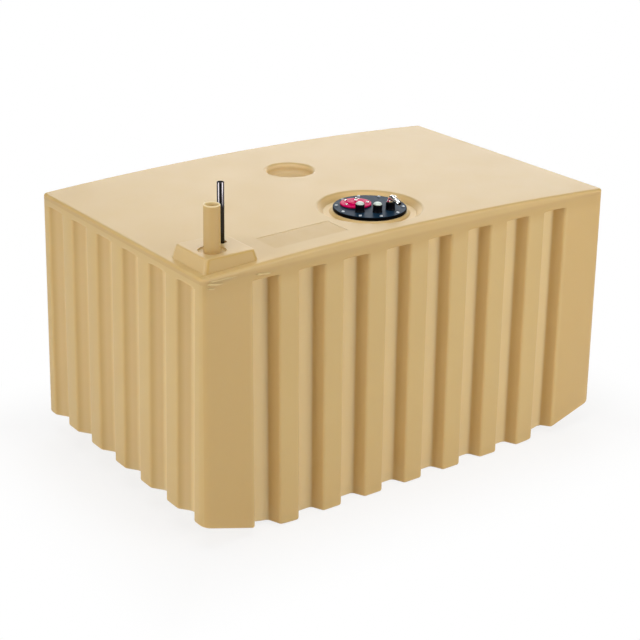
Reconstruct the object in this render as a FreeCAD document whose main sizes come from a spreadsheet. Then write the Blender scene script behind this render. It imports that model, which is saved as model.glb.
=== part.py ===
import FreeCAD, Part
import os
import math
import Sketcher

# A below-deck fuel tank moulded in polyethylene: a fluted tub, a crowned deck
# with a filler spout on a corner pad, and a round plate that carries the level
# sender and the pick-up fittings.
# Millimetres, +Z up, the front long side faces -Y.
# Origin: middle of the floor, on the plane that the tank stands on.

doc = FreeCAD.newDocument("fuel_tank")
V = FreeCAD.Vector

sizes = doc.addObject("Spreadsheet::Sheet", "sizes")
ROWS = [
    ("tank_length", "1090"),
    ("tank_depth", "671"),
    ("split_z", "579"),
    ("deck_edge", "12"),
    ("edge_round", "6.5"),
    ("crown", "17"),
    ("wall", "7"),
    ("corner_r", "11"),
    ("flare", "10"),
    ("floor_rise", "54"),
    ("rise_start", "380"),
    ("floor_bend", "450"),
    ("flute_mouth", "65.5"),
    ("flute_deep", "29"),
    ("flute_run", "13.4"),
    ("flute_round", "7.5"),
    ("front_flutes", "8"),
    ("end_flutes", "6"),
    ("corner_panel", "93.8"),
    ("end_margin", "13.4"),
    ("top_band", "14"),
    ("pad_tall", "29"),
    ("pad_size", "116"),
    ("pad_inset", "26.5"),
    ("pad_slope", "10"),
    ("pad_corner", "10"),
    ("pad_round", "5"),
    ("spout_in_x", "66.8"),
    ("spout_in_y", "68.3"),
    ("spout_d", "34"),
    ("spout_bore", "27.5"),
    ("spout_tall", "95"),
    ("spout_root", "15"),
    ("spout_lip", "1.5"),
    ("moat_d", "58"),
    ("moat_deep", "3.5"),
    ("vent_in_x", "108.2"),
    ("vent_in_y", "100.9"),
    ("vent_d", "15"),
    ("vent_bore", "12"),
    ("vent_tall", "125"),
    ("vent_shank_d", "19"),
    ("vent_shank_tall", "16.5"),
    ("vent_seat_d", "24"),
    ("vent_seat_deep", "3.5"),
    ("plate_x", "-21.8"),
    ("plate_in_y", "149.7"),
    ("plate_d", "161"),
    ("plate_thick", "6.5"),
    ("plate_edge", "1.2"),
    ("gasket_thick", "1.5"),
    ("gasket_step", "1"),
    ("hatch_d", "118"),
    ("recess_d", "241"),
    ("recess_floor_d", "203.5"),
    ("recess_deep", "13"),
    ("recess_round", "6"),
    ("boss_lip", "2"),
    ("boss_slope", "6"),
    ("blank_x", "-9"),
    ("blank_in_y", "469.5"),
    ("blank_d", "106"),
    ("blank_deep", "22"),
    ("blank_round", "9"),
    ("panel_in_x", "206.8"),
    ("panel_long", "182"),
    ("panel_in_y", "51"),
    ("panel_wide", "71.5"),
    ("panel_deep", "0.6"),
    ("screw_count", "10"),
    ("screw_inset", "8"),
    ("screw_d", "8"),
    ("screw_tall", "2.6"),
    ("sender_d", "69"),
    ("sender_gap", "2"),
    ("sender_turn", "124.8"),
    ("sender_hole_d", "44"),
    ("seal_thick", "1.2"),
    ("flange_thick", "3.2"),
    ("hub_d", "40"),
    ("hub_tall", "3.6"),
    ("hub_round", "1.6"),
    ("bolt_count", "5"),
    ("bolt_circle_d", "52"),
    ("bolt_turn", "40"),
    ("bolt_d", "7.2"),
    ("nut_d", "8"),
    ("nut_tall", "3"),
    ("stud_d", "4"),
    ("stud_tall", "8"),
    ("fitting_d", "19.5"),
    ("fitting_tall", "17"),
    ("fitting_edge", "0.8"),
    ("plug_d", "17"),
    ("plug_tall", "5"),
    ("plug_rim", "1.25"),
    ("plug_shoulder", "4"),
    ("plug_face_d", "12"),
    ("left_fit_x", "-41"),
    ("left_fit_y", "-18"),
    ("middle_fit_x", "-11"),
    ("middle_fit_y", "-41"),
    ("right_fit_x", "24"),
    ("right_fit_y", "-41.5"),
    ("elbow_nut_d", "15"),
    ("elbow_nut_tall", "4"),
    ("elbow_d", "11"),
    ("elbow_bore", "7.2"),
    ("elbow_bend", "9"),
    ("elbow_rise", "5"),
    ("barb_reach", "26"),
    ("barb_dip", "10"),
    ("barb_lip", "1.3"),
    ("barb_pitch", "7"),
    ("barb_tall", "5.6"),
    ("spare", "6"),
    ("flute_pitch", "=(tank_length - 2 * corner_panel) / front_flutes"),
    ("end_pitch", "=(tank_depth - end_margin) / end_flutes"),
    ("flute_top_z", "=split_z - top_band"),
    ("deck_z", "=split_z + deck_edge"),
    ("half_length", "=tank_length / 2"),
    ("half_depth", "=tank_depth / 2"),
    ("arch_r", "=(half_length * half_length + crown * crown) / (2 * crown)"),
    ("arch_z", "=deck_z + crown - arch_r"),
    ("flute_phi", "=atan(flute_run / flute_deep)"),
    ("flute_tangent", "=flute_round * tan((90 deg - flute_phi) / 2)"),
    ("flank_side", "=flute_tangent * sin(flute_phi)"),
    ("flank_in", "=flute_tangent * cos(flute_phi)"),
    ("pad_top_z", "=deck_z + pad_tall"),
    ("spout_x", "=-half_length + spout_in_x"),
    ("spout_y", "=-half_depth + spout_in_y"),
    ("vent_x", "=-half_length + vent_in_x"),
    ("vent_y", "=-half_depth + vent_in_y"),
    ("plate_y", "=-half_depth + plate_in_y"),
    ("blank_y", "=-half_depth + blank_in_y"),
]
for i, (name, value) in enumerate(ROWS):
    sizes.set("A%d" % (i + 1), name)
    sizes.set("B%d" % (i + 1), value)
    sizes.setAlias("B%d" % (i + 1), name)
doc.recompute()


def size(name):
    return float(getattr(sizes, name))


def origin_feature(body, role):
    for feature in body.Origin.OriginFeatures:
        if feature.Role == role:
            return feature


def new_body(label):
    body = doc.addObject("PartDesign::Body", label)
    body.Label = label
    return body


def new_sketch(body, label, role="XY_Plane", x=None, y=None, z=None, turn=0):
    sketch = body.newObject("Sketcher::SketchObject", label)
    sketch.AttachmentSupport = (origin_feature(body, role), [""])
    sketch.MapMode = "FlatFace"
    sketch.AttachmentOffset = FreeCAD.Placement(V(0, 0, 0), FreeCAD.Rotation(V(0, 0, 1), turn))
    for axis, text in (("x", x), ("y", y), ("z", z)):
        if text is not None:
            sketch.setExpression("AttachmentOffset.Base." + axis, text)
    return sketch


def limit(sketch, kind, args, value, text, name):
    # one driven measure of a sketch, bound to the sheet
    sketch.addConstraint(Sketcher.Constraint(kind, *args, value))
    sketch.renameConstraint(sketch.ConstraintCount - 1, name)
    if text:
        sketch.setExpression("Constraints." + name, text)


def place_point(sketch, geo, pos, x, y, tx, ty, name):
    # fixes a point at (x, y) from the sketch origin, with signed expressions
    for kind, value, text, tail in (("DistanceX", x, tx, "_x"), ("DistanceY", y, ty, "_y")):
        if text is None:
            continue
        if value >= 0:
            limit(sketch, kind, (-1, 1, geo, pos), value, text, name + tail)
        else:
            limit(sketch, kind, (geo, pos, -1, 1), -value, "-(" + text + ")", name + tail)


def number(text):
    # the value of a sheet expression, for a sketch's first positions
    return float(sizes.evalExpression(text))


def polygon(sketch, points):
    # closed outline through points given as pairs of sheet expressions
    values = [(number(a), number(b)) for a, b in points]
    count = len(points)
    for i in range(count):
        a = values[i]
        b = values[(i + 1) % count]
        sketch.addGeometry(Part.LineSegment(V(a[0], a[1], 0), V(b[0], b[1], 0)), False)
    for i in range(count):
        sketch.addConstraint(Sketcher.Constraint("Coincident", i, 2, (i + 1) % count, 1))
    for i in range(count):
        place_point(sketch, i, 1, values[i][0], values[i][1], points[i][0], points[i][1], "p%d" % i)


def rounded_rect(sketch, left, right, front, back, radius):
    # rectangle with four equal corner arcs, each side at a sheet expression
    x0, x1, y0, y1, r = [number(t) for t in (left, right, front, back, radius)]
    lines = [((x0 + r, y0), (x1 - r, y0)), ((x1, y0 + r), (x1, y1 - r)),
             ((x1 - r, y1), (x0 + r, y1)), ((x0, y1 - r), (x0, y0 + r))]
    for a, b in lines:
        sketch.addGeometry(Part.LineSegment(V(a[0], a[1], 0), V(b[0], b[1], 0)), False)
    mids = [(x1 - r, y0 + r, -90), (x1 - r, y1 - r, 0), (x0 + r, y1 - r, 90), (x0 + r, y0 + r, 180)]
    for cx, cy, start in mids:
        circle = Part.Circle(V(cx, cy, 0), V(0, 0, 1), r)
        arc = Part.ArcOfCircle(circle, math.radians(start), math.radians(start + 90))
        sketch.addGeometry(arc, False)
    for i in range(4):
        sketch.addConstraint(Sketcher.Constraint("Tangent", i, 2, 4 + i, 1))
        sketch.addConstraint(Sketcher.Constraint("Tangent", 4 + i, 2, (i + 1) % 4, 1))
        sketch.addConstraint(Sketcher.Constraint("Horizontal" if i % 2 == 0 else "Vertical", i))
    for i in range(1, 4):
        sketch.addConstraint(Sketcher.Constraint("Equal", 4, 4 + i))
    limit(sketch, "Radius", (4,), r, radius, "corner")
    place_point(sketch, 0, 1, 0, y0, None, front, "front")
    place_point(sketch, 1, 1, x1, 0, right, None, "right")
    place_point(sketch, 2, 1, 0, y1, None, back, "back")
    place_point(sketch, 3, 1, x0, 0, left, None, "left")


def circle(sketch, x, y, diameter, name):
    cx, cy, d = number(x), number(y), number(diameter)
    geo = sketch.GeometryCount
    sketch.addGeometry(Part.Circle(V(cx, cy, 0), V(0, 0, 1), d / 2), False)
    limit(sketch, "Diameter", (geo,), d, diameter, name + "_across")
    place_point(sketch, geo, 3, cx, cy, x, y, name)


def pad(body, sketch, label, length, reverse=False, middle=False, taper=None):
    feature = body.newObject("PartDesign::Pad", label)
    feature.Profile = sketch
    feature.setExpression("Length", length)
    feature.Reversed = reverse
    feature.Midplane = middle
    if taper:
        feature.setExpression("TaperAngle", taper)
    sketch.Visibility = False
    return feature


def pocket(body, sketch, label, length, reverse=False, middle=False, taper=None):
    feature = body.newObject("PartDesign::Pocket", label)
    feature.Profile = sketch
    feature.setExpression("Length", length)
    feature.Reversed = reverse
    feature.Midplane = middle
    if taper:
        feature.setExpression("TaperAngle", taper)
    sketch.Visibility = False
    return feature


def mirrored(body, feature, label, role):
    copy = body.newObject("PartDesign::Mirrored", label)
    copy.Originals = [feature]
    copy.MirrorPlane = (origin_feature(body, role), [""])
    body.Tip = copy
    return copy


def lean(feature, x, y):
    # leans an extrusion, so that it runs parallel to a drafted wall
    feature.UseCustomVector = True
    feature.AlongSketchNormal = True
    feature.Direction = V(number(x) if x else 0, number(y) if y else 0, 1)
    if x:
        feature.setExpression("Direction.x", x)
    if y:
        feature.setExpression("Direction.y", y)


def row(body, feature, label, role, count, pitch):
    pattern = body.newObject("PartDesign::LinearPattern", label)
    pattern.Originals = [feature]
    pattern.Direction = (origin_feature(body, role), [""])
    pattern.setExpression("Occurrences", count)
    pattern.setExpression("Length", pitch + " * (" + count + " - 1)")
    body.Tip = pattern
    return pattern


DRAFT = "sizes.flare / sizes.split_z"


def wall_at(z):
    # how far the drafted outside of a wall stands out past the deck's edge line
    return "sizes.flare * (1 - (%s) / sizes.split_z)" % z


def walls(z):
    # name, turn, axis, seed x, seed y, lean x, lean y, count, pitch
    front_x = "-sizes.flute_pitch * (sizes.front_flutes - 1) / 2"
    end_y = "-sizes.end_pitch * (sizes.end_flutes - 1) / 2"
    side_y = "(sizes.half_depth + " + wall_at(z) + ")"
    side_x = "(sizes.half_length + " + wall_at(z) + ")"
    front = ("sizes.front_flutes", "sizes.flute_pitch")
    ends = ("sizes.end_flutes", "sizes.end_pitch")
    return [
        ("front", 0, "X_Axis", front_x, "-" + side_y, None, DRAFT) + front,
        ("back", 180, "X_Axis", front_x, side_y, None, "-" + DRAFT) + front,
        ("left", -90, "Y_Axis", "-" + side_x, end_y, DRAFT, None) + ends,
        ("right", 90, "Y_Axis", side_x, end_y, "-" + DRAFT, None) + ends,
    ]


def flute_outline(sketch):
    # plan of one flute: mouth on the sketch's X axis, floor at +Y, corners rounded
    half = "sizes.flute_mouth / 2"
    floor_half = "(sizes.flute_mouth / 2 - sizes.flute_run)"
    right = [
        (half + " + sizes.flute_tangent", "-sizes.spare"),
        (half + " + sizes.flute_tangent", "0"),
        (half + " - sizes.flank_side", "sizes.flank_in"),
        (floor_half + " + sizes.flank_side", "sizes.flute_deep - sizes.flank_in"),
        (floor_half + " - sizes.flute_tangent", "sizes.flute_deep"),
    ]
    points = right + [("-(" + x + ")", y) for x, y in reversed(right)]
    lip_x = number(half + " + sizes.flute_tangent")
    foot_x = number(floor_half + " - sizes.flute_tangent")
    r = size("flute_round")
    foot_y = size("flute_deep") - r
    arcs = {1: (lip_x, r, True), 3: (foot_x, foot_y, False),
            5: (-foot_x, foot_y, False), 7: (-lip_x, r, True)}
    outline(sketch, points, arcs, "sizes.flute_round")


def outline(sketch, points, arcs, radius, closed=True):
    # outline of lines, with arcs where arcs[i] gives (centre x, centre y, clockwise)
    values = [(number(a), number(b)) for a, b in points]
    count = len(points)
    spans = count if closed else count - 1
    ends = []
    for i in range(spans):
        a = values[i]
        b = values[(i + 1) % count]
        if i in arcs:
            cx, cy, clockwise = arcs[i]
            start = math.atan2(a[1] - cy, a[0] - cx)
            stop = math.atan2(b[1] - cy, b[0] - cx)
            if clockwise:
                start, stop = stop, start
            whole = Part.Circle(V(cx, cy, 0), V(0, 0, 1), number(radius))
            sketch.addGeometry(Part.ArcOfCircle(whole, start, stop), False)
            ends.append((2, 1) if clockwise else (1, 2))
        else:
            sketch.addGeometry(Part.LineSegment(V(a[0], a[1], 0), V(b[0], b[1], 0)), False)
            ends.append((1, 2))
    for i in range(count if closed else spans - 1):
        j = (i + 1) % count
        sketch.addConstraint(Sketcher.Constraint("Coincident", i, ends[i][1], j, ends[j][0]))
    for i in range(spans):
        place_point(sketch, i, ends[i][0], values[i][0], values[i][1],
                    points[i][0], points[i][1], "p%d" % i)
    if not closed:
        place_point(sketch, spans - 1, ends[-1][1], values[-1][0], values[-1][1],
                    points[-1][0], points[-1][1], "p%d" % spans)
    for i in arcs:
        limit(sketch, "Radius", (i,), number(radius), radius, "round%d" % i)


# the fluted tub: drafted walls and a floor that rises at both ends
tub = new_body("tank_body")
TAPER = "atan(sizes.flare / sizes.split_z)"
rim = new_sketch(tub, "tub_rim", z="sizes.split_z")
rounded_rect(rim, "-sizes.half_length", "sizes.half_length", "-sizes.half_depth",
             "sizes.half_depth", "sizes.corner_r")
pad(tub, rim, "tub_outside", "sizes.split_z", reverse=True, taper=TAPER)
hollow = new_sketch(tub, "tub_hollow", z="sizes.split_z")
rounded_rect(hollow, "-sizes.half_length + sizes.wall", "sizes.half_length - sizes.wall",
             "-sizes.half_depth + sizes.wall", "sizes.half_depth - sizes.wall",
             "sizes.corner_r - sizes.wall")
pocket(tub, hollow, "tub_inside", "sizes.split_z - sizes.wall", taper=TAPER)

# the floor turns up at both ends through a wide bend: first the inside, later the cut below it
RUN = "(sizes.half_length + sizes.flare - sizes.rise_start)"
SLOPE = "(sizes.floor_rise / " + RUN + ")"
TILT = "atan(" + SLOPE + ")"
BEND_X = "(sizes.rise_start - sizes.floor_bend * tan(" + TILT + " / 2))"
MID_FLOOR = "sizes.wall / 2"


def floor_end(sketch, lift, low, far):
    # section under one rising floor end, whose top runs parallel to the floor at a height of lift
    radius = "(sizes.floor_bend - %s)" % lift
    x = "(%s + %s * sin(%s))" % (BEND_X, radius, TILT)
    z = "(%s + %s * (1 - cos(%s)))" % (lift, radius, TILT)
    top = "%s + (%s - %s) * %s" % (z, far, x, SLOPE)
    points = [(BEND_X, lift), (x, z), (far, top), (far, low), (BEND_X, low)]
    outline(sketch, points, {0: (number(BEND_X), size("floor_bend"), False)}, radius)


inner_floor = new_sketch(tub, "floor_end_inside", "XZ_Plane")
floor_end(inner_floor, "sizes.wall", MID_FLOOR, "(sizes.half_length + sizes.wall / 4)")
fill = pad(tub, inner_floor, "floor_end_fill", "sizes.tank_depth + sizes.wall / 2", middle=True)
mirrored(tub, fill, "floor_end_fills", "YZ_Plane")

# each flute has a jacket inside the wall, so that the wall keeps its thickness round it
for name, turn, axis, sx, sy, lx, ly, count, pitch in walls(MID_FLOOR):
    jacket = new_sketch(tub, name + "_jacket", x=sx, y=sy, z=MID_FLOOR, turn=turn)
    wide = "sizes.flute_mouth / 2 + sizes.wall / cos(sizes.flute_phi)"
    skin = "sizes.wall / 4"
    j0 = wide + " - " + skin + " * tan(sizes.flute_phi)"
    j1 = wide + " - (sizes.flute_deep + sizes.wall) * tan(sizes.flute_phi)"
    polygon(jacket, [("-(" + j0 + ")", skin), (j0, skin), (j1, "sizes.flute_deep + sizes.wall"),
                     ("-(" + j1 + ")", "sizes.flute_deep + sizes.wall")])
    sleeve = pad(tub, jacket, name + "_jacket_solid", "sizes.flute_top_z + sizes.wall - " + MID_FLOOR)
    lean(sleeve, lx, ly)
    row(tub, sleeve, name + "_jackets", axis, count, pitch)

outer_floor = new_sketch(tub, "floor_end_outside", "XZ_Plane")
floor_end(outer_floor, "0", "-sizes.spare", "(sizes.half_length + 2 * sizes.flare)")
under = pocket(tub, outer_floor, "floor_end_cut", "sizes.tank_depth + 4 * sizes.flare", middle=True)
mirrored(tub, under, "floor_end_cuts", "YZ_Plane")

for name, turn, axis, sx, sy, lx, ly, count, pitch in walls("-sizes.spare"):
    plan = new_sketch(tub, name + "_flute", x=sx, y=sy, z="-sizes.spare", turn=turn)
    flute_outline(plan)
    groove = pocket(tub, plan, name + "_flute_cut", "sizes.flute_top_z + sizes.spare")
    lean(groove, lx, ly)
    row(tub, groove, name + "_flutes", axis, count, pitch)


def edge_names(shape, test):
    return ["Edge%d" % (i + 1) for i, e in enumerate(shape.Edges) if test(e)]


def fillet(body, base, label, radius, test):
    doc.recompute()
    feature = body.newObject("PartDesign::Fillet", label)
    feature.Base = (base, edge_names(base.Shape, test))
    feature.setExpression("Radius", radius)
    doc.recompute()
    return feature


def near(a, b, tol=0.2):
    return abs(a - b) < tol


def upright(edge):
    ends = edge.Vertexes
    if len(ends) != 2:
        return False
    a = ends[0].Point
    b = ends[1].Point
    return near(a.x, b.x, 0.01) and near(a.y, b.y, 0.01)


# the crowned deck: an arch along the tank, straight across it, rounded all round
deck = new_body("tank_deck")
TOP = "(sizes.deck_z + sizes.crown)"
arch = new_sketch(deck, "deck_arch", "XZ_Plane")
outline(arch, [
    ("-sizes.half_length", "sizes.split_z"), ("sizes.half_length", "sizes.split_z"),
    ("sizes.half_length", "sizes.deck_z"), ("-sizes.half_length", "sizes.deck_z"),
], {2: (0, number("sizes.arch_z"), False)}, "sizes.arch_r")
crown = pad(deck, arch, "deck_solid", "sizes.tank_depth", middle=True)
corners = fillet(deck, crown, "deck_corners", "sizes.corner_r", upright)
split = size("split_z")
edges = fillet(deck, corners, "deck_edges", "sizes.edge_round",
               lambda e: e.BoundBox.ZMin > split + size("deck_edge") / 2)
vault = new_sketch(deck, "deck_vault", "XZ_Plane")
SPRING = "sizes.arch_z + sqrt((sizes.arch_r - sizes.wall)^2 - (sizes.half_length - sizes.wall)^2)"
outline(vault, [
    ("-sizes.half_length + sizes.wall", "sizes.split_z - sizes.spare"),
    ("sizes.half_length - sizes.wall", "sizes.split_z - sizes.spare"),
    ("sizes.half_length - sizes.wall", SPRING), ("-sizes.half_length + sizes.wall", SPRING),
], {2: (0, number("sizes.arch_z"), False)}, "sizes.arch_r - sizes.wall")
inside = pocket(deck, vault, "deck_inside", "sizes.tank_depth - 2 * sizes.wall", middle=True)
inner_x = size("half_length") - size("wall")
fillet(deck, inside, "deck_inside_corners", "sizes.corner_r - sizes.wall",
       lambda e: upright(e) and near(abs(e.BoundBox.Center.x), inner_x))

# the raised corner pad, with sloping outer sides; its foot is sunk into the deck
low = new_sketch(deck, "pad_foot", z="sizes.deck_z - sizes.wall / 2")
LOW = "sizes.pad_inset - sizes.pad_slope"
LOW_FAR = "sizes.pad_inset + sizes.pad_size + sizes.pad_corner / 2"
rounded_rect(low, "-sizes.half_length + " + LOW, "-sizes.half_length + " + LOW_FAR,
             "-sizes.half_depth + " + LOW, "-sizes.half_depth + " + LOW_FAR, "sizes.pad_corner")
high = new_sketch(deck, "pad_top", z="sizes.pad_top_z")
FAR_EDGE = "sizes.pad_inset + sizes.pad_size"
rounded_rect(high, "-sizes.half_length + sizes.pad_inset", "-sizes.half_length + " + FAR_EDGE,
             "-sizes.half_depth + sizes.pad_inset", "-sizes.half_depth + " + FAR_EDGE, "sizes.pad_corner")
block = deck.newObject("PartDesign::AdditiveLoft", "corner_pad")
block.Profile = low
block.Sections = [high]
block.Ruled = True
low.Visibility = False
high.Visibility = False
doc.recompute()
pad_z = size("pad_top_z")
fillet(deck, block, "pad_top_edges", "sizes.pad_round", lambda e: e.BoundBox.ZMin > pad_z - 0.1)

# the cups that hang below the deck round the two recesses
CUP_TOP = "sizes.wall / 2"
cup = new_sketch(deck, "sender_cup", z=TOP + " - sizes.recess_deep - sizes.wall")
circle(cup, "sizes.plate_x", "sizes.plate_y", "sizes.recess_d + sizes.wall / 2", "ring")
pad(deck, cup, "sender_cup_solid", "sizes.recess_deep + sizes.wall - " + CUP_TOP)
well = new_sketch(deck, "blank_cup", z=TOP + " - sizes.blank_deep - sizes.wall")
circle(well, "sizes.blank_x", "sizes.blank_y", "sizes.blank_d + 2 * sizes.wall", "ring")
pad(deck, well, "blank_cup_solid", "sizes.blank_deep + sizes.wall - " + CUP_TOP)

# the sender recess: a sloped side, a flat moat and the boss that carries the plate
ring = new_sketch(deck, "recess_section", "XZ_Plane", x="sizes.plate_x", z="-sizes.plate_y")
SEAT = TOP + " - sizes.plate_thick - sizes.gasket_thick"
MOAT = TOP + " - sizes.recess_deep"
RIM = "sizes.recess_d / 2 - sizes.recess_round / 2"
polygon(ring, [
    ("0", SEAT), ("sizes.plate_d / 2 + sizes.boss_lip", SEAT),
    ("sizes.plate_d / 2 + sizes.boss_lip + sizes.boss_slope", MOAT), ("sizes.recess_floor_d / 2", MOAT),
    (RIM, TOP), (RIM, TOP + " + 2 * sizes.spare"), ("0", TOP + " + 2 * sizes.spare"),
])
turned = deck.newObject("PartDesign::Groove", "sender_recess")
turned.Profile = ring
turned.ReferenceAxis = (ring, ["V_Axis"])
turned.Angle = 360
ring.Visibility = False
doc.recompute()
rim_r = number(RIM)
top_z = size("deck_z") + size("crown")


SAMPLES = 5
STRAY = 2.5


def round_about(edge, x, y, radius, low, high):
    # true for an edge that runs round an upright axis within a band of heights
    for point in edge.discretize(SAMPLES):
        away = math.hypot(point.x - size(x), point.y - size(y))
        if not near(away, radius, STRAY) or not low < point.z < high:
            return False
    return edge.Length > radius / 2


fillet(deck, turned, "recess_rim_round", "sizes.recess_round",
       lambda e: round_about(e, "plate_x", "plate_y", rim_r, top_z - STRAY, top_z + STRAY))
hatch = new_sketch(deck, "hatch", z=SEAT)
circle(hatch, "sizes.plate_x", "sizes.plate_y", "sizes.hatch_d", "ring")
pocket(deck, hatch, "hatch_cut", "sizes.recess_deep + 2 * sizes.wall")

# the blank round recess behind it
hole = new_sketch(deck, "blank_circle", z=TOP + " + sizes.spare")
circle(hole, "sizes.blank_x", "sizes.blank_y", "sizes.blank_d", "ring")
dish = pocket(deck, hole, "blank_recess", "sizes.blank_deep + sizes.spare")
blank_r = size("blank_d") / 2
floor_z = top_z - size("blank_deep")
fillet(deck, dish, "blank_rounds", "sizes.blank_round",
       lambda e: round_about(e, "blank_x", "blank_y", blank_r, floor_z - STRAY, top_z + STRAY))

# the shallow bare panel in front, which follows the crown
panel = new_sketch(deck, "bare_panel", "XZ_Plane",
                   z="sizes.half_depth - sizes.panel_in_y - sizes.panel_wide / 2")
P0 = "(-sizes.half_length + sizes.panel_in_x)"
P1 = "(-sizes.half_length + sizes.panel_in_x + sizes.panel_long)"
DIP = "sizes.arch_z + sqrt((sizes.arch_r - sizes.panel_deep)^2 - %s^2)"
outline(panel, [
    (P0, DIP % P0), (P1, DIP % P1), (P1, TOP + " + sizes.spare"), (P0, TOP + " + sizes.spare"),
], {0: (0, number("sizes.arch_z"), True)}, "sizes.arch_r - sizes.panel_deep")
pocket(deck, panel, "bare_panel_cut", "sizes.panel_wide", middle=True)

# the moulded filler spout in its moat, and the seat of the vent tube
stem = new_sketch(deck, "spout_stem", z="sizes.pad_top_z - sizes.spout_root")
circle(stem, "sizes.spout_x", "sizes.spout_y", "sizes.spout_d", "ring")
pad(deck, stem, "spout", "sizes.spout_tall + sizes.spout_root")
ditch = new_sketch(deck, "spout_moat", z="sizes.pad_top_z")
circle(ditch, "sizes.spout_x", "sizes.spout_y", "sizes.moat_d", "moat")
circle(ditch, "sizes.spout_x", "sizes.spout_y", "sizes.spout_d", "stem")
pocket(deck, ditch, "spout_moat_cut", "sizes.moat_deep")
THROUGH = "sizes.pad_tall + sizes.crown + sizes.deck_edge + 2 * sizes.wall"
bore = new_sketch(deck, "spout_bore", z="sizes.pad_top_z + sizes.spout_tall")
circle(bore, "sizes.spout_x", "sizes.spout_y", "sizes.spout_bore", "ring")
drilled = pocket(deck, bore, "spout_bore_cut", "sizes.spout_tall + " + THROUGH)
lip_z = pad_z + size("spout_tall")
fillet(deck, drilled, "spout_lip", "sizes.spout_lip",
       lambda e: near(e.BoundBox.ZMin, lip_z) and near(e.BoundBox.ZMax, lip_z))
seat = new_sketch(deck, "vent_seat", z="sizes.pad_top_z")
circle(seat, "sizes.vent_x", "sizes.vent_y", "sizes.vent_seat_d", "ring")
pocket(deck, seat, "vent_seat_cut", "sizes.vent_seat_deep")
vent_hole = new_sketch(deck, "vent_hole", z="sizes.pad_top_z")
circle(vent_hole, "sizes.vent_x", "sizes.vent_y", "sizes.vent_shank_d", "ring")
pocket(deck, vent_hole, "vent_hole_cut", THROUGH)
doc.recompute()


def at(obj, x, y, z):
    for axis, text in (("x", x), ("y", y), ("z", z)):
        obj.setExpression("Placement.Base." + axis, text)


def solid(kind, label, x, y, z, measures):
    # a Part primitive at a place, with its measures bound to the sheet
    piece = doc.addObject("Part::" + kind, label)
    for name, text in measures.items():
        piece.setExpression(name, text)
    at(piece, x, y, z)
    return piece


def turned_piece(label, x, y, z, points):
    # a turned piece: its half section, as pairs of radius and height, spun about an upright axis
    body = new_body(label)
    section = new_sketch(body, label + "_section", "XZ_Plane", x=x, y=z, z="-(" + y + ")")
    polygon(section, points)
    spun = body.newObject("PartDesign::Revolution", label + "_turned")
    spun.Profile = section
    spun.ReferenceAxis = (section, ["V_Axis"])
    spun.Angle = 360
    section.Visibility = False
    return body


def ring_of(label, count, x, y, away, turn, z, diameter, height):
    # pan heads spaced evenly round a circle, as one node
    heads = []
    for k in range(int(size(count))):
        angle = "(360 deg / sizes.%s * %d + %s * 1 deg)" % (count, k, turn)
        heads.append(solid("Cone", "%s_%d" % (label, k), "%s + %s * cos(%s)" % (x, away, angle),
                           "%s + %s * sin(%s)" % (y, away, angle), z,
                           {"Radius1": diameter + " / 2", "Radius2": diameter + " / 3", "Height": height}))
    group = doc.addObject("Part::Compound", label)
    group.Links = heads
    return group


def fuse(label, shapes):
    joined = doc.addObject("Part::MultiFuse", label)
    joined.Shapes = shapes
    return joined


PX, PY = "sizes.plate_x", "sizes.plate_y"
PLATE_Z = TOP + " - sizes.plate_thick"
PLATE_R = "sizes.plate_d / 2"
nodes = {"tank_body": tub, "tank_deck": deck}

# the round plate on its gasket
gasket_r = PLATE_R + " - sizes.gasket_step"
hatch_r = "sizes.hatch_d / 2 + sizes.gasket_step"
nodes["plate_gasket"] = turned_piece("plate_gasket", PX, PY, SEAT, [
    (hatch_r, "0"), (gasket_r, "0"), (gasket_r, "sizes.gasket_thick"), (hatch_r, "sizes.gasket_thick")])
SCREW_R = "(" + PLATE_R + " - sizes.screw_inset)"
AWAY = "(" + SCREW_R + " - sizes.screw_d / 2 - sizes.sender_gap - sizes.sender_d / 2)"
SX = PX + " + " + AWAY + " * cos(sizes.sender_turn * 1 deg)"
SY = PY + " + " + AWAY + " * sin(sizes.sender_turn * 1 deg)"
plate = turned_piece("sender_plate", PX, PY, PLATE_Z, [
    ("0", "0"), (PLATE_R, "0"), (PLATE_R, "sizes.plate_thick - sizes.plate_edge"),
    (PLATE_R + " - sizes.plate_edge", "sizes.plate_thick"), ("0", "sizes.plate_thick")])
opening = new_sketch(plate, "sender_opening", z=TOP)
circle(opening, SX, SY, "sizes.sender_hole_d", "ring")
pocket(plate, opening, "sender_opening_cut", "sizes.plate_thick")
nodes["sender_plate"] = plate
nodes["plate_screws"] = ring_of("plate_screws", "screw_count", PX, PY, SCREW_R, "0", TOP,
                                "sizes.screw_d", "sizes.screw_tall")

# the red sender head on its own seal, with its screws and its terminal
FLANGE_R = "sizes.sender_d / 2"
HUB_R = "sizes.hub_d / 2"
HUB_TOP = "sizes.flange_thick + sizes.hub_tall"
seal_in = "sizes.sender_hole_d / 2"
seal_out = FLANGE_R + " - sizes.gasket_step / 2"
nodes["sender_gasket"] = turned_piece("sender_gasket", SX, SY, TOP, [
    (seal_in, "0"), (seal_out, "0"), (seal_out, "sizes.seal_thick"), (seal_in, "sizes.seal_thick")])
SENDER_Z = TOP + " + sizes.seal_thick"
nodes["sender_head"] = turned_piece("sender_head", SX, SY, SENDER_Z, [
    ("0", "0"), (FLANGE_R, "0"), (FLANGE_R, "sizes.flange_thick"), (HUB_R, "sizes.flange_thick"),
    (HUB_R, HUB_TOP + " - sizes.hub_round"), (HUB_R + " - sizes.hub_round", HUB_TOP), ("0", HUB_TOP)])
nodes["sender_screws"] = ring_of("sender_screws", "bolt_count", SX, SY, "sizes.bolt_circle_d / 2",
                                 "sizes.bolt_turn", SENDER_Z + " + sizes.flange_thick",
                                 "sizes.bolt_d", "sizes.screw_tall")
HUB_Z = SENDER_Z + " + " + HUB_TOP
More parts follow.
